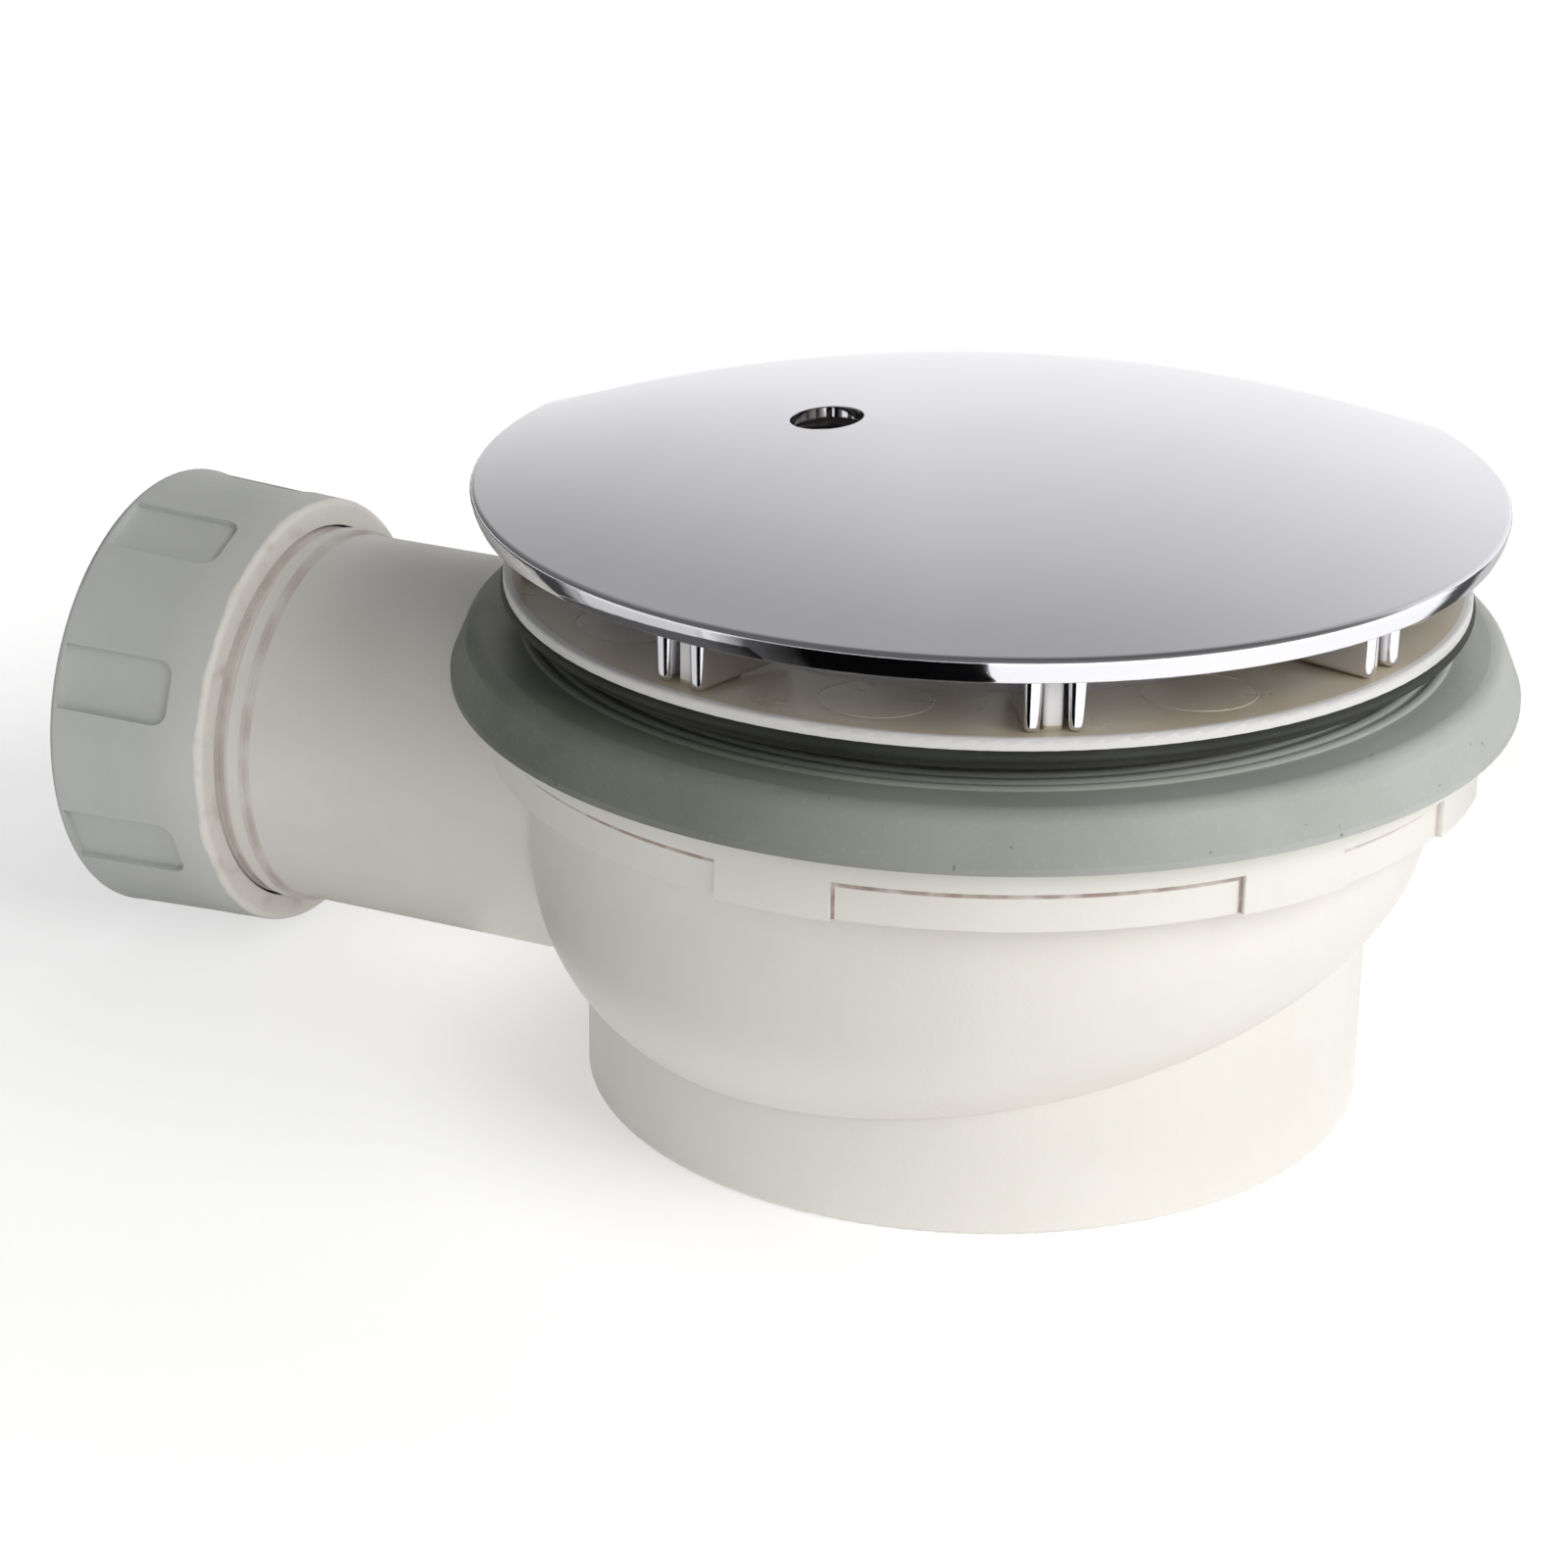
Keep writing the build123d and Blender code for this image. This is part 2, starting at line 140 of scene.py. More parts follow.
class ShaderSheet:
    """A node tree and the one way in which its nodes are made."""

    def __init__(self, tree: bpy.types.NodeTree) -> None:
        """Takes a tree and clears it."""
        self.tree = tree
        tree.nodes.clear()

    def node(
        self,
        kind: str,
        settings: Mapping[str, Any] | None = None,
        inputs: Mapping[str | int, Any] | None = None,
    ) -> bpy.types.Node:
        """Adds a node.

        Args:
            kind: The node's type.
            settings: Its properties, and the stops of a ramp as (place, colour) pairs.
            inputs: Values or signals for its input sockets, by name or number.

        Returns:
            The node.
        """
        made = self.tree.nodes.new(kind)
        for name, value in (settings or {}).items():
            if name == "stops":
                self._set_stops(made.color_ramp, value)
            else:
                setattr(made, name, value)
        for name, value in (inputs or {}).items():
            if isinstance(value, Signal):
                self.tree.links.new(value.socket, made.inputs[name])
            else:
                made.inputs[name].default_value = value
        return made

    @staticmethod
    def _set_stops(ramp: bpy.types.ColorRamp, stops: Sequence[tuple[float, Colour]]) -> None:
        """Gives a ramp its stops, of which it already has two."""
        for _ in range(len(stops) - len(ramp.elements)):
            ramp.elements.new(0.5)
        for element, (place, colour) in zip(ramp.elements, stops):
            element.position = place
            element.color = (*colour, 1.0)

    def signal(
        self,
        kind: str,
        settings: Mapping[str, Any] | None = None,
        inputs: Mapping[str | int, Any] | None = None,
        output: str | int = 0,
    ) -> Signal:
        """Adds a node and returns one of its outputs as a signal."""
        return Signal(self, self.node(kind, settings, inputs).outputs[output])

    def place(self) -> Signal:
        """Where a point lies on the piece, in the row's frame."""
        return self.signal("ShaderNodeTexCoord", output="Object")

    def axes(self, vector: Signal) -> tuple[Signal, Signal, Signal]:
        """The three parts of a vector."""
        split = self.node("ShaderNodeSeparateXYZ", inputs={0: vector})
        return tuple(Signal(self, split.outputs[axis]) for axis in range(3))

    def grain(self, scale: float, detail: float, stretch: Point) -> Signal:
        """Noise over the piece.

        Args:
            scale: How many grains there are to a metre.
            detail: How many finer layers it has.
            stretch: Factors on the three axes, below 1 for a pattern drawn out along that axis.

        Returns:
            The noise, about 0.5.
        """
        turned = self.signal("ShaderNodeMapping", inputs={"Vector": self.place(), "Scale": stretch})
        inputs = {"Vector": turned, "Scale": scale, "Detail": detail}
        return self.signal("ShaderNodeTexNoise", inputs=inputs)

    def mix(self, share: Signal, first: Union[Signal, Colour], second: Union[Signal, Colour]) -> Signal:
        """A colour between two, by a share of the second."""
        pair = [value if isinstance(value, Signal) else (*value, 1.0) for value in (first, second)]
        settings = {"data_type": "RGBA", "clamp_factor": True}
        return self.signal("ShaderNodeMix", settings, {0: share, 6: pair[0], 7: pair[1]}, output=2)

    def bump(self, height: Signal, depth: float, edge_round: float = 0.0) -> Signal:
        """A normal from a height of 0 to 1.

        Args:
            height: The height over the surface.
            depth: What a height of 1 stands for, in metres.
            edge_round: The radius of the small rounding that sharp edges show, in metres.

        Returns:
            The normal.
        """
        inputs: dict[str | int, Any] = {"Height": height, "Distance": depth, "Strength": 1.0}
        if edge_round:
            rounding = {"Radius": edge_round}
            inputs["Normal"] = self.signal("ShaderNodeBevel", {"samples": BEVEL_SAMPLES}, rounding)
        return self.signal("ShaderNodeBump", inputs=inputs, output="Normal")

    def surface(self, inputs: Mapping[str, Any]) -> None:
        """Ends the sheet with one Principled surface."""
        shader = self.signal("ShaderNodeBsdfPrincipled", inputs=inputs, output="BSDF")
        self.node("ShaderNodeOutputMaterial", inputs={"Surface": shader})


def new_sheet(name: str) -> tuple[bpy.types.Material, ShaderSheet]:
    """Makes an empty material and the sheet that its nodes go on."""
    material = bpy.data.materials.new(name)
    material.use_nodes = True
    return material, ShaderSheet(material.node_tree)


@dataclass(frozen=True)
class Pattern:
    """A noise over a piece, and the part of its range that shows.

    The scale is in grains to a metre, the detail is how many finer layers there are, and the stretch is a
    factor on each axis.
    """

    scale: float
    detail: float
    low: float = 0.0
    high: float = 1.0
    stretch: Point = (1.0, 1.0, 1.0)

    def raw(self, sheet: ShaderSheet) -> Signal:
        """The noise itself, about 0.5."""
        return sheet.grain(self.scale, self.detail, self.stretch)

    def shown(self, sheet: ShaderSheet) -> Signal:
        """The noise as a smooth step from 0 at the low end of its range to 1 at the high end."""
        return self.raw(sheet).rise(self.low, self.high)


@dataclass(frozen=True)
class MouldedPlastic:
    """Satin moulded plastic: a cloudy tone, draw marks down its walls and a fine grain."""

    name: str
    colour: Colour
    shade: Colour
    gloss_roughness: float = 0.42
    grain_depth: float = 0.00004
    cloud: Pattern = Pattern(28.0, 4.0, 0.38, 0.68)
    cloud_share: float = 0.55
    drawn: Pattern = Pattern(700.0, 2.0, stretch=(1.0, 1.0, 0.04))
    drawn_share: float = 0.25
    drawn_height: float = 0.4
    fine: Pattern = Pattern(2600.0, 2.0)
    fine_height: float = 0.6
    gloss: Pattern = Pattern(160.0, 4.0)
    gloss_range: float = 0.16
    ior: float = 1.49

    def sheet(self) -> tuple[bpy.types.Material, ShaderSheet, Signal, Signal]:
        """Starts the material.

        Returns:
            The material, its sheet, its cloudy colour and the height of its grain.
        """
        material, sheet = new_sheet(self.name)
        cloud = self.cloud.shown(sheet)
        drawn = self.drawn.raw(sheet)
        colour = sheet.mix(cloud * self.cloud_share + drawn * self.drawn_share, self.colour, self.shade)
        height = self.fine.raw(sheet) * self.fine_height + drawn * self.drawn_height
        return material, sheet, colour, height

    def finish(self, sheet: ShaderSheet, colour: Signal, height: Signal) -> None:
        """Ends the material with its gloss and its bump."""
        rough = self.gloss.raw(sheet) * self.gloss_range + (self.gloss_roughness - self.gloss_range / 2)
        sheet.surface(
            {
                "Base Color": colour,
                "Roughness": rough,
                "IOR": self.ior,
                "Normal": sheet.bump(height, self.grain_depth),
            }
        )

    def material(self) -> bpy.types.Material:
        """Makes the plain finish."""
        material, sheet, colour, height = self.sheet()
        self.finish(sheet, colour, height)
        return material


@dataclass(frozen=True)
class CollarPlastic(MouldedPlastic):
    """Body plastic on the collar, with a brown line of painted shade in the corners of its sunk panels.

    The painted shade is fainter towards the lit side, which is an angle about Z in degrees.
    """

    shade_line_colour: Colour = (0.3, 0.2, 0.16)
    panel_top: float = 0.0452
    top_fade: float = 0.0004
    line_drop: float = 0.00045
    panel_wall: float = 0.0559
    wall_fade: float = 0.0005
    block_half: float = 0.0065
    block_angles: tuple[float, ...] = (0.0, 32.4, 90.0)
    block_fade: float = 0.01
    line_width: float = 0.0008
    broken: Pattern = Pattern(420.0, 2.0, 0.3, 0.6)
    shade_line_least: float = 0.35
    shade_line_range: float = 0.5
    lit_side_angle: float = 25.0
    lit_side_start: float = 0.01
    lit_side_end: float = 0.05
    lit_side_share: float = 0.6

    def material(self) -> bpy.types.Material:
        """Makes the finish."""
        material, sheet, colour, height = self.sheet()
        x, y, z = sheet.axes(sheet.place())
        side = abs(y)
        radius = (x * x + y * y).root()
        corner = z.line(self.panel_top - self.line_drop, self.line_width)
        for angle in self.block_angles:
            turn = math.radians(angle)
            along = side * math.cos(turn) - x * math.sin(turn)
            facing = (x * math.cos(turn) + side * math.sin(turn)).rise(0.0, self.block_fade)
            corner = corner.most(abs(along).line(self.block_half, self.line_width) * facing)
        inward = radius.fall(self.panel_wall, self.panel_wall + self.wall_fade)
        sunk = inward * z.fall(self.panel_top, self.panel_top + self.top_fade)
        broken = self.broken.shown(sheet) * self.shade_line_range + self.shade_line_least
        side_turn = math.radians(self.lit_side_angle)
        towards = x * math.cos(side_turn) + y * math.sin(side_turn)
        lit_side_fade = towards.rise(self.lit_side_start, self.lit_side_end)
        # painted shade: a broken brown line in the panels' corners, fainter towards the lit side
        painted_shade_line = corner * sunk * broken * (1 - lit_side_fade * self.lit_side_share)
        self.finish(sheet, sheet.mix(painted_shade_line, colour, self.shade_line_colour), height)
        return material


@dataclass(frozen=True)
class BowlPlastic(MouldedPlastic):
    """Body plastic on the bowl, with brown lines, partly dirt and partly painted shade, in the groove and
    on the shoulder beside the nut.
    """

    dirt_and_shade_colour: Colour = (0.32, 0.2, 0.165)
    broken: Pattern = Pattern(130.0, 5.0, 0.35, 0.7)
    groove_place: float = -0.0877
    groove_width: float = 0.0013
    groove_least: float = 0.2
    groove_range: float = 0.3
    shoulder_place: float = -0.08435
    shoulder_width: float = 0.0016
    shoulder_least: float = 0.06
    shoulder_range: float = 0.3
    outlet_height: float = 0.028
    outlet_wall: float = 0.0216
    wall_fade: float = 0.0004

    def material(self) -> bpy.types.Material:
        """Makes the finish."""
        material, sheet, colour, height = self.sheet()
        x, y, z = sheet.axes(sheet.place())
        above = z - self.outlet_height
        reach = (y * y + above * above).root()
        outside = reach.rise(self.outlet_wall, self.outlet_wall + self.wall_fade)
        broken = self.broken.shown(sheet)
        groove = x.line(self.groove_place, self.groove_width)
        shoulder = x.line(self.shoulder_place, self.shoulder_width)
        in_groove = groove * (broken * self.groove_range + self.groove_least)
        # partly dirt, partly painted shade: the gap by the nut and the shoulder's foot are painted brown
        dirt_and_shade = in_groove + shoulder * (broken * self.shoulder_range + self.shoulder_least)
        self.finish(sheet, sheet.mix(dirt_and_shade * outside, colour, self.dirt_and_shade_colour), height)
        return material


@dataclass(frozen=True)
class NutPlastic(MouldedPlastic):
    """Grey plastic of the nut, painted paler towards the bowl and on the face there as painted light,
    with brown smears on that face.
    """

    painted_face_light: Colour = (0.9, 0.87, 0.82)
    smear_colour: Colour = (0.42, 0.3, 0.25)
    face_place: float = -0.0882
    face_depth: float = 0.0006
    face_over: float = 0.0002
    face_light_share: float = 0.9
    light_fade_reach: float = 0.009
    light_fade_share: float = 0.3
    ragged: Pattern = Pattern(300.0, 3.0)
    ragged_depth: float = 0.0012
    smears: Pattern = Pattern(240.0, 5.0, 0.52, 0.78)
    smear_share: float = 0.4

    def material(self) -> bpy.types.Material:
        """Makes the finish."""
        material, sheet, colour, height = self.sheet()
        x, _, _ = sheet.axes(sheet.place())
        # painted light: the face, with a ragged edge, and the end towards the bowl are painted paler
        ragged_x = x + self.ragged.raw(sheet) * self.ragged_depth
        face = ragged_x.rise(self.face_place - self.face_depth, self.face_place + self.face_over)
        smears = self.smears.shown(sheet) * face
        toward_light = x.rise(self.face_place - self.light_fade_reach, self.face_place) * self.light_fade_share
        painted_pale = sheet.mix(toward_light.most(face * self.face_light_share), colour, self.painted_face_light)
        self.finish(sheet, sheet.mix(smears * self.smear_share, painted_pale, self.smear_colour), height)
        return material


@dataclass(frozen=True)
class FlangePlastic(MouldedPlastic):
    """White plastic of the flange: dish and lip darkened by painted shade, and the pale discs of the
    ejector pins.
    """

    dish_shade_colour: Colour = (0.53, 0.46, 0.335)
    lip_shade_colour: Colour = (0.74, 0.735, 0.72)
    dish_radius: float = 0.0529
    dish_fade: float = 0.0007
    lip_fade: float = 0.0003
    dish_floor: float = 0.0588
    floor_fade: float = 0.0004
    dish_top: float = 0.0612
    top_fade: float = 0.0003
    shade_patches: Pattern = Pattern(90.0, 4.0, 0.3, 0.7)
    shade_patch_share: float = 0.08
    pin_circle: float = 0.044
    pin_radius: float = 0.006
    pin_fade: float = 0.0002
    pin_share: float = 0.12
    pin_count: int = 8
    pin_turn: float = 7.5

    def material(self) -> bpy.types.Material:
        """Makes the finish."""
        material, sheet, colour, height = self.sheet()
        x, y, z = sheet.axes(sheet.place())
        radius = (x * x + y * y).root()
        step = math.tau / self.pin_count
        turn = (y.angle_over(x) - math.radians(self.pin_turn)) / step
        across = (turn - turn.nearest_whole()) * step * radius
        along = radius - self.pin_circle
        reach = (across * across + along * along).root()
        inside = reach.fall(self.pin_radius - self.pin_fade, self.pin_radius + self.pin_fade)
        over_floor = z.rise(self.dish_floor, self.dish_floor + self.floor_fade)
        level = over_floor * z.fall(self.dish_top, self.dish_top + self.top_fade)
        # painted shade: the dish under the cover is painted a dark beige, in patches
        dish = radius.fall(self.dish_radius, self.dish_radius + self.dish_fade) * level
        shade_patches = self.shade_patches.shown(sheet) * self.shade_patch_share + (1 - self.shade_patch_share)
        dish_shaded = sheet.mix(dish * shade_patches, colour, self.dish_shade_colour)
        # painted shade: the lip is painted greyer
        on_lip = radius.rise(self.dish_radius, self.dish_radius + self.lip_fade)
        lip_shaded = sheet.mix(on_lip, dish_shaded, self.lip_shade_colour)
        self.finish(sheet, sheet.mix(inside * self.pin_share, lip_shaded, self.colour), height)
        return material


@dataclass(frozen=True)
class MouldedRubber:
    """Dull moulded rubber: mottled, with faint turning rings about the axis and a dusty bloom.

    Painted light can make it paler, in the bloom's colour, towards one side, which is an angle about Z in
    degrees, up to the given reach.
    """

    name: str
    colour: Colour
    bloom_and_light: Colour
    roughness: float = 0.58
    fleck_colour: Colour = (0.05, 0.05, 0.045)
    side_light_share: float = 0.0
    light_side: float = 0.0
    light_side_reach: float = 0.06
    mottle: Pattern = Pattern(60.0, 5.0, 0.35, 0.7)
    mottle_share: float = 0.5
    speck: Pattern = Pattern(1500.0, 2.0, 0.58, 0.75)
    speck_share: float = 0.3
    fleck: Pattern = Pattern(820.0, 1.0, 0.76, 0.82)
    fleck_share: float = 0.5
    ring_scale: float = 900.0
    ring_detail: float = 1.0
    ring_height: float = 0.3
    fine: Pattern = Pattern(2200.0, 2.0)
    fine_height: float = 0.7
    grain_depth: float = 0.00005
    gloss: Pattern = Pattern(210.0, 4.0)
    gloss_range: float = 0.2
    ior: float = 1.5

    def material(self) -> bpy.types.Material:
        """Makes the finish."""
        material, sheet = new_sheet(self.name)
        x, y, _ = sheet.axes(sheet.place())
        radius = (x * x + y * y).root()
        side = math.radians(self.light_side)
        # painted light: the rubber is painted paler towards its lit side
        painted_side_light = (x * math.cos(side) + y * math.sin(side)).rise(-self.light_side_reach, self.light_side_reach)
        even = self.mottle.shown(sheet) * self.mottle_share + self.speck.shown(sheet) * self.speck_share
        dust_and_side_light = even * (1.0 - self.side_light_share) + painted_side_light * self.side_light_share
        bloomed_and_lit = sheet.mix(dust_and_side_light, self.colour, self.bloom_and_light)
        colour = sheet.mix(self.fleck.shown(sheet) * self.fleck_share, bloomed_and_lit, self.fleck_colour)
        turned = {"Vector": radius, "Scale": self.ring_scale, "Detail": self.ring_detail}
        rings = sheet.signal("ShaderNodeTexNoise", inputs=turned)
        height = self.fine.raw(sheet) * self.fine_height + rings * self.ring_height
        rough = self.gloss.raw(sheet) * self.gloss_range + (self.roughness - self.gloss_range / 2)
        sheet.surface(
            {
                "Base Color": colour,
                "Roughness": rough,
                "IOR": self.ior,
                "Normal": sheet.bump(height, self.grain_depth),
            }
        )
        return material


@dataclass(frozen=True)
class ChromePlating:
    """Bright chrome on plastic: a faint ripple, and wiping marks that show in its gloss."""

    name: str = "chrome_plating"
    colour: Colour = (0.888, 0.883, 0.926)
    dulled: Colour = (0.84, 0.835, 0.885)
    roughness: float = 0.05
    edge_round: float = 0.0002
    wiped: Pattern = Pattern(120.0, 5.0, 0.4, 0.75, (1.0, 0.2, 1.0))
    wiped_share: float = 0.3
    wiped_rough: float = 0.05
    speck: Pattern = Pattern(3200.0, 1.0, 0.66, 0.78)
    speck_share: float = 0.4
    speck_rough: float = 0.06
    ripple: Pattern = Pattern(150.0, 1.0)
    ripple_depth: float = 0.000004

    def material(self) -> bpy.types.Material:
        """Makes the finish."""
        material, sheet = new_sheet(self.name)
        wiped = self.wiped.shown(sheet)
        speck = self.speck.shown(sheet)
        colour = sheet.mix(wiped * self.wiped_share + speck * self.speck_share, self.colour, self.dulled)
        rough = wiped * self.wiped_rough + speck * self.speck_rough + self.roughness
        sheet.surface(
            {
                "Base Color": colour,
                "Metallic": 1.0,
                "Roughness": rough,
                "Normal": sheet.bump(self.ripple.raw(sheet), self.ripple_depth, self.edge_round),
            }
        )
        return material


CREAM: Colour = (0.835, 0.815, 0.77)
CREAM_SHADE: Colour = (0.775, 0.752, 0.7)
BODY_PLASTIC = MouldedPlastic("body_plastic", CREAM, CREAM_SHADE)
BOWL_PLASTIC = BowlPlastic("bowl_plastic", CREAM, CREAM_SHADE)
COLLAR_PLASTIC = CollarPlastic("collar_plastic", CREAM, CREAM_SHADE)
WELD_PLASTIC = MouldedPlastic("weld_plastic", (0.76, 0.735, 0.68), (0.66, 0.63, 0.57), 0.34)
FLANGE_PLASTIC = FlangePlastic(
    "flange_plastic", (0.9, 0.895, 0.885), (0.86, 0.85, 0.83), 0.3, grain_depth=0.000002
)
# a darker copy of the flange's white plastic: painted shade to match the dish under the cover
SHADED_PIN_PLASTIC = MouldedPlastic(
    "shaded_pin_mark_plastic", (0.62, 0.58, 0.5), (0.56, 0.52, 0.44), 0.3, grain_depth=0.000002
)
# painted shade: the dip tube's white plastic, painted darker because it sits in shade under the cover
SHADED_INNER_PLASTIC = MouldedPlastic("shaded_inner_plastic", (0.8, 0.79, 0.76), (0.72, 0.7, 0.66), 0.36)
NUT_PLASTIC = NutPlastic("nut_plastic", (0.585, 0.6, 0.58), (0.525, 0.54, 0.52), 0.45)
# the gasket gets painted light: paler towards its lit side
GASKET_RUBBER = MouldedRubber(
    "gasket_rubber", (0.148, 0.162, 0.126), (0.53, 0.55, 0.522), 0.46, side_light_share=0.8, light_side=25.0
)
BLACK_RUBBER = MouldedRubber("black_rubber", (0.02, 0.022, 0.018), (0.04, 0.044, 0.036), 0.55)
CHROME = ChromePlating()
# a near-black chrome that paints the shade inside the lifting hole
HOLE_SHADE_CHROME = ChromePlating("hole_shade_chrome", (0.1, 0.095, 0.09), (0.05, 0.048, 0.045), 0.3)


def dress(node: str, material: bpy.types.Material) -> None:
    """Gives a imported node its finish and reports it."""
    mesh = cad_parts[node].data
    mesh.materials.clear()
    mesh.materials.append(material)
    log.info("%s: %s", node, material.name)


class Carrier:
    """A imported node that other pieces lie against, with the search for its surface."""

    def __init__(self, node: str) -> None:
        """Reads the node's mesh."""
        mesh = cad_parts[node].data
        corners = [vertex.co for vertex in mesh.vertices]
        self.tree = BVHTree.FromPolygons(corners, [face.vertices for face in mesh.polygons])

    def height(self, x: float, y: float, start: float, upwards: bool) -> float:
        """Finds the surface above or below a point.

        Args:
            x: Where to look.
            y: Where to look.
            start: The height at which the search starts.
            upwards: Whether it goes up from there, and otherwise down.

        Returns:
            The height of the first surface met, or the start where there is none.
        """
        way = Vector((0.0, 0.0, 1.0 if upwards else -1.0))
        met = self.tree.ray_cast(Vector((x, y, start)), way)[0]
        return start if met is None else met.z


def ring_mesh(
    radius: float, section: float, sides: int, steps: int, gap: float = 0.0
) -> bmesh.types.BMesh:
    """Spins a small circle about Z into a ring.

    Args:
        radius: The radius of the ring's middle line.
        section: The radius of the small circle.
        sides: The corners of the small circle.
        steps: The steps of the spin.
        gap: The angle that stays open about the -X direction, in radians.

    Returns:
        The closed mesh, at height 0.
    """
    built = bmesh.new()
    upright = Matrix.Rotation(math.pi / 2, 4, "X")
    start = Matrix.Rotation(math.pi + gap / 2, 4, "Z") @ Matrix.Translation((radius, 0.0, 0.0)) @ upright
    bmesh.ops.create_circle(built, segments=sides, radius=section, matrix=start)
    bmesh.ops.spin(
        built,
        geom=built.verts[:] + built.edges[:],
        cent=(0.0, 0.0, 0.0),
        axis=(0.0, 0.0, 1.0),
        angle=math.tau - gap,
        steps=steps,
        use_merge=gap == 0.0,
    )
    bmesh.ops.holes_fill(built, edges=[edge for edge in built.edges if edge.is_boundary], sides=sides)
    bmesh.ops.remove_doubles(built, verts=built.verts[:], dist=MERGE_DISTANCE)
    bmesh.ops.recalc_face_normals(built, faces=built.faces[:])
    return built


def add_piece(name: str, built: bmesh.types.BMesh, material: bpy.types.Material) -> None:
    """Makes a finished piece of a mesh, lets it ride on the row's body and reports it.

    Args:
        name: The piece's name.
        built: Its mesh, which is freed.
        material: Its finish.
    """
    mesh = bpy.data.meshes.new(name)
    built.to_mesh(mesh)
    built.free()
    mesh.shade_smooth()
    mesh.materials.append(material)
    piece = bpy.data.objects.new(name, mesh)
    bpy.context.scene.collection.objects.link(piece)
    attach(piece, "root")
    log.info("%s: new piece, %s", name, material.name)


@dataclass
class TrapBody:
    """The welded body: base cup, bowl with outlet stub and collar, and the beads of its welds."""

    cup: str = "base_cup"
    bowl: str = "trap_bowl"
    collar: str = "body_collar"
    cup_weld_radius: float = 0.0449
    cup_weld_section: float = 0.00042
    cup_weld_reach: float = 0.0456
    under_bowl: float = 0.001
    collar_weld_radius: float = 0.0514
    collar_weld_height: float = 0.04075
    collar_weld_section: float = 0.0004
    collar_weld_gap: float = math.radians(52.0)
    unevenness: float = 0.00016
    waves_per_metre: float = 420.0
    weld_sides: int = 10
    weld_steps: int = 480

    def build(self) -> None:
        """Dresses the three mouldings and lays the two weld beads."""
        dress(self.cup, BODY_PLASTIC.material())
        dress(self.bowl, BOWL_PLASTIC.material())
        dress(self.collar, COLLAR_PLASTIC.material())
        weld = WELD_PLASTIC.material()
        add_piece("cup_weld_bead", self.cup_weld(), weld)
        add_piece("collar_weld_bead", self.collar_weld(), weld)

    def cup_weld(self) -> bmesh.types.BMesh:
        """Lays a bead round the cup, up against the falling floor of the bowl."""
        bowl = Carrier(self.bowl)
        built = ring_mesh(self.cup_weld_radius, self.cup_weld_section, self.weld_sides, self.weld_steps)
        for corner in built.verts:
            turn = math.atan2(corner.co.y, corner.co.x)
            x, y = self.cup_weld_reach * math.cos(turn), self.cup_weld_reach * math.sin(turn)
            corner.co.z += bowl.height(x, y, self.under_bowl, upwards=True)
        self.roughen(built)
        return built

    def collar_weld(self) -> bmesh.types.BMesh:
        """Lays a bead in the corner between the bowl and the collar's lower edge, open at the outlet."""
        built = ring_mesh(
            self.collar_weld_radius,
            self.collar_weld_section,
            self.weld_sides,
            self.weld_steps,
            self.collar_weld_gap,
        )
        bmesh.ops.translate(built, verts=built.verts[:], vec=(0.0, 0.0, self.collar_weld_height))
        self.roughen(built)
        return built

    def roughen(self, built: bmesh.types.BMesh) -> None:
        """Swells and thins a bead along its length, as squeezed plastic does."""
        built.normal_update()
        moves = []
        for corner in built.verts:
            swell = noise.noise(corner.co * self.waves_per_metre) * self.unevenness
            moves.append((corner, corner.normal * swell))
        for corner, move in moves:
            corner.co += move


@dataclass
class TrayJoint:
    """What clamps on the shower tray: the gasket, the flange with its washer, and the dip tube."""

    gasket: str = "tray_gasket"
    flange: str = "waste_flange"
    washer: str = "flange_washer"
    tube: str = "dip_tube"
    tube_seal: str = "dip_tube_seal"
    pin_ridge: float = 0.00008
    pin_sides: int = 8
    pin_steps: int = 72
    above_dish: float = 0.0635
    shade_bead_radius: float = 0.05345
    shade_bead_height: float = 0.05915
    shade_bead_section: float = 0.00088
    shade_bead_sides: int = 16
    shade_bead_steps: int = 160

    def build(self) -> None:
        """Dresses the five pieces, and adds a black bead of painted shade under the lip and the marks of
        the ejector pins.
        """
        dress(self.gasket, GASKET_RUBBER.material())
        dress(self.flange, FLANGE_PLASTIC.material())
        dress(self.tube, SHADED_INNER_PLASTIC.material())
        black = BLACK_RUBBER.material()
        dress(self.washer, black)
        dress(self.tube_seal, black)
        # painted shade: a black bead put under the flange's lip
        add_piece("lip_shade_bead", self.lip_shade_bead(), black)
        add_piece("ejector_pin_marks", self.pin_marks(), SHADED_PIN_PLASTIC.material())

    def lip_shade_bead(self) -> bmesh.types.BMesh:
        """Lays a bead of black rubber under the flange's lip, a dark thing that stands in for the shade
        there.
        """
        built = ring_mesh(self.shade_bead_radius, self.shade_bead_section, self.shade_bead_sides, self.shade_bead_steps)
        bmesh.ops.translate(built, verts=built.verts[:], vec=(0.0, 0.0, self.shade_bead_height))
        return built

    def pin_marks(self) -> bmesh.types.BMesh:
        """Lays the fine round ridges that the ejector pins left, half sunk in the dish."""
        flange = Carrier(self.flange)
        finish = FLANGE_PLASTIC
        built = ring_mesh(finish.pin_radius, self.pin_ridge, self.pin_sides, self.pin_steps)
        turn = Matrix.Rotation(math.radians(finish.pin_turn), 3, "Z")
        first = turn @ Vector((finish.pin_circle, 0.0, 0.0))
        bmesh.ops.translate(built, verts=built.verts[:], vec=first)
        bmesh.ops.spin(
            built,
            geom=built.faces[:],
            cent=(0.0, 0.0, 0.0),
            axis=(0.0, 0.0, 1.0),
            angle=math.tau * (finish.pin_count - 1) / finish.pin_count,
            steps=finish.pin_count - 1,
            use_duplicate=True,
        )
        for corner in built.verts:
            corner.co.z += flange.height(corner.co.x, corner.co.y, self.above_dish, upwards=False)
        return built


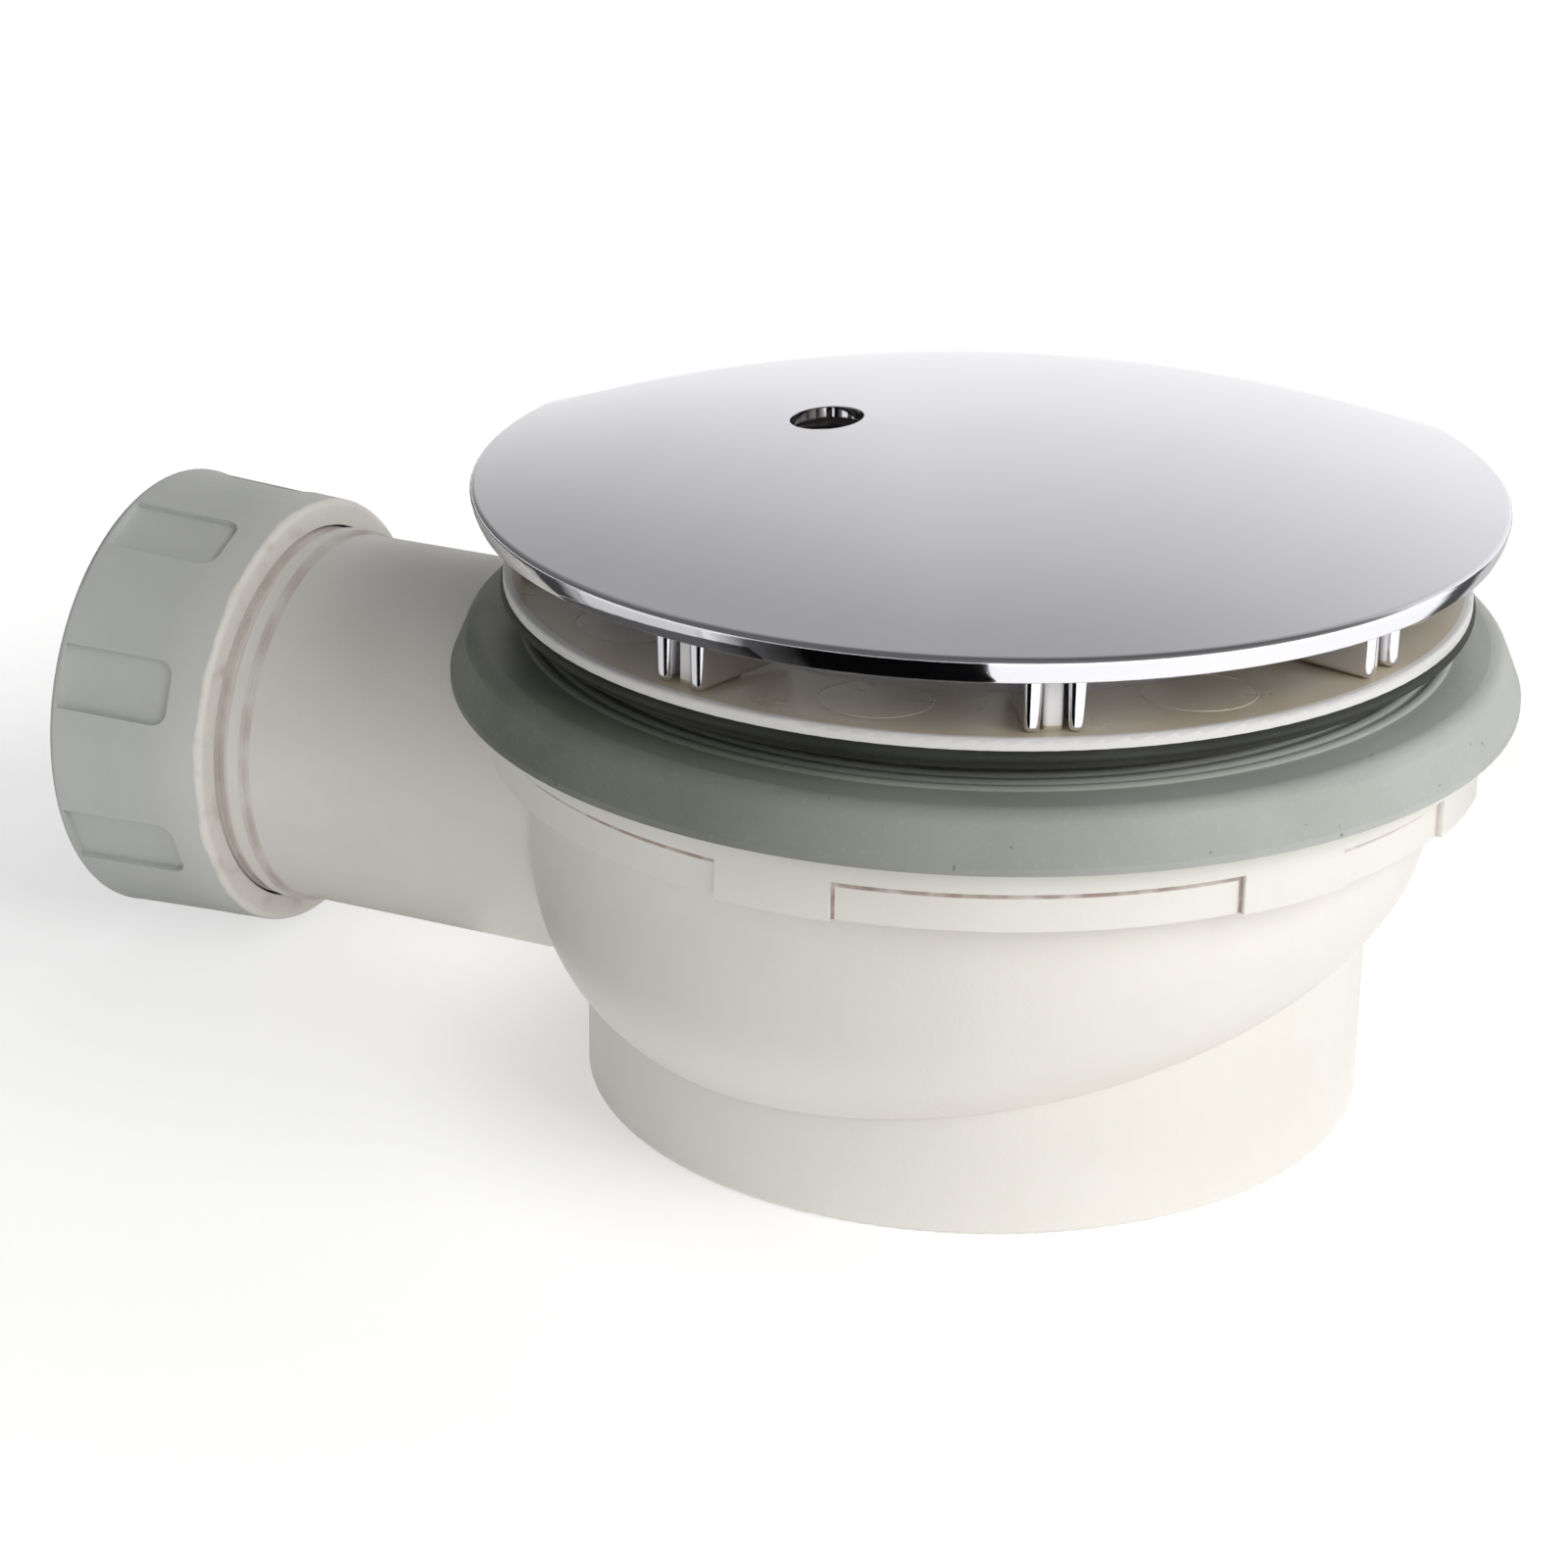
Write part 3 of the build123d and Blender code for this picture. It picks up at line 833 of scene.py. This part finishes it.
@dataclass
class DomeCover:
    """The chrome cover with its fins, and a dark boss round the lifting hole on its underside, which
    stands in for the shade seen through the hole.
    """

    cover: str = "dome_cover"
    hole_distance: float = 0.0182
    hole_turn: float = math.radians(-150.0)
    boss_bore: float = 0.00416
    boss_wall: float = 0.0011
    boss_top: float = 0.0774
    boss_bottom: float = 0.0756
    boss_sides: int = 72
    boss_round: float = 0.0003
    boss_round_steps: int = 4

    def build(self) -> None:
        """Dresses the cover and adds the boss, whose dark finish is painted shade."""
        dress(self.cover, CHROME.material())
        add_piece("lifting_hole_boss", self.boss(), HOLE_SHADE_CHROME.material())

    def boss(self) -> bmesh.types.BMesh:
        """Makes the short tube, whose top is sunk in the cover's wall, with a rounded lower edge."""
        built = bmesh.new()
        corners = [
            (self.boss_bore, self.boss_top),
            (self.boss_bore, self.boss_bottom),
            (self.boss_bore + self.boss_wall, self.boss_bottom),
            (self.boss_bore + self.boss_wall, self.boss_top),
        ]
        section = built.faces.new([built.verts.new((reach, 0.0, height)) for reach, height in corners])
        middle_height = (self.boss_top + self.boss_bottom) / 2
        lower = [corner for corner in section.verts if corner.co.z < middle_height]
        bmesh.ops.bevel(
            built,
            geom=lower,
            offset=self.boss_round,
            affect="VERTICES",
            segments=self.boss_round_steps,
            profile=0.5,
            material=-1,
        )
        outline = built.edges[:]
        bmesh.ops.delete(built, geom=built.faces[:], context="FACES_ONLY")
        bmesh.ops.spin(
            built,
            geom=built.verts[:] + outline,
            cent=(0.0, 0.0, 0.0),
            axis=(0.0, 0.0, 1.0),
            angle=math.tau,
            steps=self.boss_sides,
            use_merge=True,
        )
        bmesh.ops.remove_doubles(built, verts=built.verts[:], dist=MERGE_DISTANCE)
        bmesh.ops.recalc_face_normals(built, faces=built.faces[:])
        middle = Matrix.Rotation(self.hole_turn, 3, "Z") @ Vector((self.hole_distance, 0.0, 0.0))
        bmesh.ops.translate(built, verts=built.verts[:], vec=middle)
        return built


@dataclass
class OutletJoint:
    """The compression joint on the outlet: nut, slip ring and cone seal."""

    nut: str = "outlet_nut"
    ring: str = "slip_ring"
    seal: str = "cone_seal"

    def build(self) -> None:
        """Dresses the three pieces."""
        dress(self.nut, NUT_PLASTIC.material())
        dress(self.ring, BODY_PLASTIC.material())
        dress(self.seal, BLACK_RUBBER.material())


@dataclass(frozen=True)
class Softbox:
    """A soft rectangular lamp that looks at one point."""

    name: str
    position: Point
    aim: Point
    width: float
    height: float
    power: float
    colour: Colour = (1.0, 1.0, 1.0)

    def hang(self) -> None:
        """Adds the lamp to the scene, where it lights surfaces but doesn't show in gloss."""
        lamp = bpy.data.lights.new(self.name, "AREA")
        lamp.shape = "RECTANGLE"
        lamp.size, lamp.size_y = self.width, self.height
        lamp.energy = self.power
        lamp.color = self.colour
        hung = bpy.data.objects.new(self.name, lamp)
        hung.location = self.position
        way = Vector(self.aim) - Vector(self.position)
        hung.rotation_euler = way.to_track_quat("-Z", "Y").to_euler()
        hung.visible_glossy = False
        bpy.context.scene.collection.objects.link(hung)


@dataclass(frozen=True)
class DarkCard:
    """A dark card that lies on the floor round the object and shows only in gloss.

    Its two ends are angles about Z in degrees, and its stops say how much of the floor it covers from the
    left end to the right one.
    """

    name: str
    near: float
    far: float
    left_end: float
    right_end: float
    cover_stops: tuple[tuple[float, float], ...]
    height: float
    steps: int = 48
    tone: Colour = (0.003, 0.003, 0.0035)

    def lay(self) -> None:
        """Spins the card and gives it its tone."""
        built = bmesh.new()
        turn = Matrix.Rotation(math.radians(self.right_end), 3, "Z")
        places = [Vector((reach, 0.0, self.height)) for reach in (self.near, self.far)]
        ends = [built.verts.new(turn @ place) for place in places]
        edge = built.edges.new(ends)
        bmesh.ops.spin(
            built,
            geom=[*ends, edge],
            cent=(0.0, 0.0, 0.0),
            axis=(0.0, 0.0, 1.0),
            angle=math.radians(self.left_end - self.right_end),
            steps=self.steps,
        )
        mesh = bpy.data.meshes.new(self.name)
        built.to_mesh(mesh)
        built.free()
        mesh.materials.append(self.material())
        card = bpy.data.objects.new(self.name, mesh)
        for kind in ("camera", "diffuse", "shadow", "transmission", "volume_scatter"):
            setattr(card, f"visible_{kind}", False)
        bpy.context.scene.collection.objects.link(card)

    def material(self) -> bpy.types.Material:
        """Makes the card's tone, which thins out as its stops say."""
        material, sheet = new_sheet(self.name)
        x, y, _ = sheet.axes(sheet.place())
        middle = math.radians(self.left_end + self.right_end) / 2
        forward = x * math.cos(middle) + y * math.sin(middle)
        sideways = y * math.cos(middle) - x * math.sin(middle)
        along = sideways.angle_over(forward) / math.radians(self.right_end - self.left_end) + 0.5
        stops = [(place, (cover, cover, cover)) for place, cover in self.cover_stops]
        cover = sheet.signal("ShaderNodeValToRGB", {"stops": stops}, {0: along})
        clear = sheet.signal("ShaderNodeBsdfTransparent")
        dark = sheet.signal("ShaderNodeBsdfDiffuse", inputs={"Color": (*self.tone, 1.0)})
        shown = sheet.signal("ShaderNodeMixShader", inputs={0: cover, 1: clear, 2: dark})
        sheet.node("ShaderNodeOutputMaterial", inputs={"Surface": shown})
        return material


@dataclass
class Studio:
    """Floor, surroundings, lamps and camera."""

    floor_radius: float = 6.0
    floor_sides: int = 96
    floor_colour: Colour = (0.9, 0.9, 0.9)
    floor_light: float = 0.235
    floor_glow: float = 0.46
    painted_shadow_depth: float = 0.12
    painted_shadow_start: float = 0.045
    painted_shadow_end: float = 0.07
    far_glow: float = 0.4
    far_start: float = 0.1
    far_end: float = 0.4
    right_hand: Point = (0.9061, 0.4228, 0.0)
    front: Point = (0.4183, -0.9083, 0.0)
    left_darkening: float = 2.4
    left_lightening: float = 2.6
    left_least: float = 0.4
    front_darkening: float = 1.2
    gloss_darkening: float = 0.8
    gloss_start: float = -0.3
    gloss_end: float = 0.1
    sweep_depth: float = 1.6
    sweep_stops: tuple[tuple[float, float], ...] = (
        (0.0, 0.96),
        (0.25, 0.86),
        (0.45, 0.72),
        (0.63, 0.565),
        (0.78, 0.39),
        (1.0, 0.23),
        (1.3, 0.15),
        (1.6, 0.12),
    )
    cards: tuple[DarkCard, ...] = (
        DarkCard(
            "front_card",
            0.064,
            0.8,
            -125.0,
            -67.2,
            ((0.0, 0.0), (0.2, 0.92), (0.4, 1.0), (1.0, 1.0)),
            0.0008,
        ),
        DarkCard("left_near_card", 0.064, 0.112, -205.0, -113.0, ((0.0, 0.9), (1.0, 0.9)), 0.001),
        DarkCard("left_mid_card", 0.112, 0.8, -158.0, -123.0, ((0.0, 0.35), (1.0, 0.35)), 0.0012),
        DarkCard(
            "left_far_card",
            0.112,
            0.8,
            -234.0,
            -156.0,
            ((0.0, 0.93), (0.6, 0.93), (0.9, 0.95), (1.0, 0.35)),
            0.0014,
        ),
        DarkCard(
            "right_card",
            0.105,
            0.8,
            38.0,
            92.0,
            ((0.0, 0.0), (0.1, 0.93), (0.3, 0.93), (0.4, 0.45)),
            0.0016,
        ),
    )
    camera_place: Point = (0.164276, -0.409987, 0.213188)
    camera_right: Point = (0.9061, 0.4228, 0.0122)
    camera_up: Point = (-0.1693, 0.3362, 0.9264)
    camera_forward: Point = (-0.3876, 0.8415, -0.3763)
    lens: float = 95.625
    sensor: float = 36.0
    clip_start: float = 0.01
    clip_end: float = 50.0
    lamps: tuple[Softbox, ...] = (
        Softbox("key_softbox", (1.0, -0.32, 0.72), (0.0, 0.0, 0.04), 0.9, 0.7, 8.3, (1.0, 0.99, 0.975)),
        Softbox("front_softbox", (0.4, -1.08, 0.5), (0.0, 0.0, 0.04), 0.9, 0.7, 3.3),
    )

    def build(self) -> None:
        """Sets up the whole studio."""
        self.lay_floor()
        for card in self.cards:
            card.lay()
        self.paint_surroundings()
        for lamp in self.lamps:
            lamp.hang()
        self.place_camera()

    def lay_floor(self) -> None:
        """Lays a round pale floor that shows white to the camera and in gloss and keeps the shadow, with
        a painted shadow that weakens its glow close to the object.
        """
        built = bmesh.new()
        bmesh.ops.create_circle(built, cap_ends=True, segments=self.floor_sides, radius=self.floor_radius)
        mesh = bpy.data.meshes.new("floor")
        built.to_mesh(mesh)
        built.free()
        floor = bpy.data.objects.new("floor", mesh)
        bpy.context.scene.collection.objects.link(floor)
        material, sheet = new_sheet("floor_paper")
        paths = sheet.node("ShaderNodeLightPath")
        kinds = ("Camera", "Glossy", "Transmission")
        shown = [Signal(sheet, paths.outputs[f"Is {kind} Ray"]) for kind in kinds]
        seen = shown[0].most(shown[1]).most(shown[2])
        x, y, _ = sheet.axes(sheet.place())
        radius = (x * x + y * y).root()
        gain = radius.rise(self.far_start, self.far_end) * self.far_glow
        # painted shadow: the floor's glow is weaker close to the object
        painted_shadow = radius.fall(self.painted_shadow_start, self.painted_shadow_end) * self.painted_shadow_depth
        paper = sheet.signal("ShaderNodeBsdfDiffuse", inputs={"Color": (*self.floor_colour, 1.0)})
        shine = seen * (gain - painted_shadow + (self.floor_glow - self.floor_light)) + self.floor_light
        glow = sheet.signal("ShaderNodeEmission", inputs={"Strength": shine})
        both = sheet.signal("ShaderNodeAddShader", inputs={0: paper, 1: glow})
        sheet.node("ShaderNodeOutputMaterial", inputs={"Surface": both})
        mesh.materials.append(material)

    def paint_surroundings(self) -> None:
        """Paints the world: white to the camera, else a sweep that darkens up, left and to the front."""
        world = bpy.data.worlds.new("studio_sweep")
        world.use_nodes = True
        bpy.context.scene.world = world
        sheet = ShaderSheet(world.node_tree)
        way = sheet.signal("ShaderNodeTexCoord", output="Generated")
        _, _, height = sheet.axes(way)
        dot = {"operation": "DOT_PRODUCT"}
        rightward, frontward = (
            sheet.signal("ShaderNodeVectorMath", dot, {0: way, 1: side}, output="Value")
            for side in (self.right_hand, self.front)
        )
        leftward = (rightward * -1.0).most(0.0)
        leftness = leftward * (self.left_darkening - height * self.left_lightening).most(self.left_least)
        in_gloss = sheet.signal("ShaderNodeLightPath", output="Is Glossy Ray")
        glossed = frontward.rise(self.gloss_start, self.gloss_end) * self.gloss_darkening
        lighted = (frontward * self.front_darkening).most(0.0)
        depth = height + leftness + in_gloss * glossed + (1 - in_gloss) * lighted
        stops = [(place / self.sweep_depth, (tone, tone, tone)) for place, tone in self.sweep_stops]
        sweep = sheet.signal("ShaderNodeValToRGB", {"stops": stops}, {0: depth / self.sweep_depth})
        lit = sheet.signal("ShaderNodeBackground", inputs={"Color": sweep})
        white = sheet.signal("ShaderNodeBackground", inputs={"Color": (1.0, 1.0, 1.0, 1.0)})
        camera_ray = sheet.signal("ShaderNodeLightPath", output="Is Camera Ray")
        shown = sheet.signal("ShaderNodeMixShader", inputs={0: camera_ray, 1: lit, 2: white})
        sheet.node("ShaderNodeOutputWorld", inputs={"Surface": shown})

    def place_camera(self) -> None:
        """Places the camera at the photograph's viewing angle."""
        camera = bpy.data.cameras.new("photo_camera")
        camera.lens = self.lens
        camera.sensor_width = self.sensor
        camera.clip_start, camera.clip_end = self.clip_start, self.clip_end
        held = bpy.data.objects.new("photo_camera", camera)
        back = -Vector(self.camera_forward)
        turn = Matrix((Vector(self.camera_right), Vector(self.camera_up), back)).transposed().to_4x4()
        held.matrix_world = Matrix.Translation(self.camera_place) @ turn
        bpy.context.scene.collection.objects.link(held)
        bpy.context.scene.camera = held


def main() -> None:
    """Builds the sub-assemblies and the studio in order."""
    logging.basicConfig(level=logging.INFO, format="%(name)s %(message)s")
    bpy.context.scene.view_settings.view_transform = "Standard"
    for part in (TrapBody(), TrayJoint(), DomeCover(), OutletJoint(), Studio()):
        part.build()


if __name__ == "__main__":
    main()
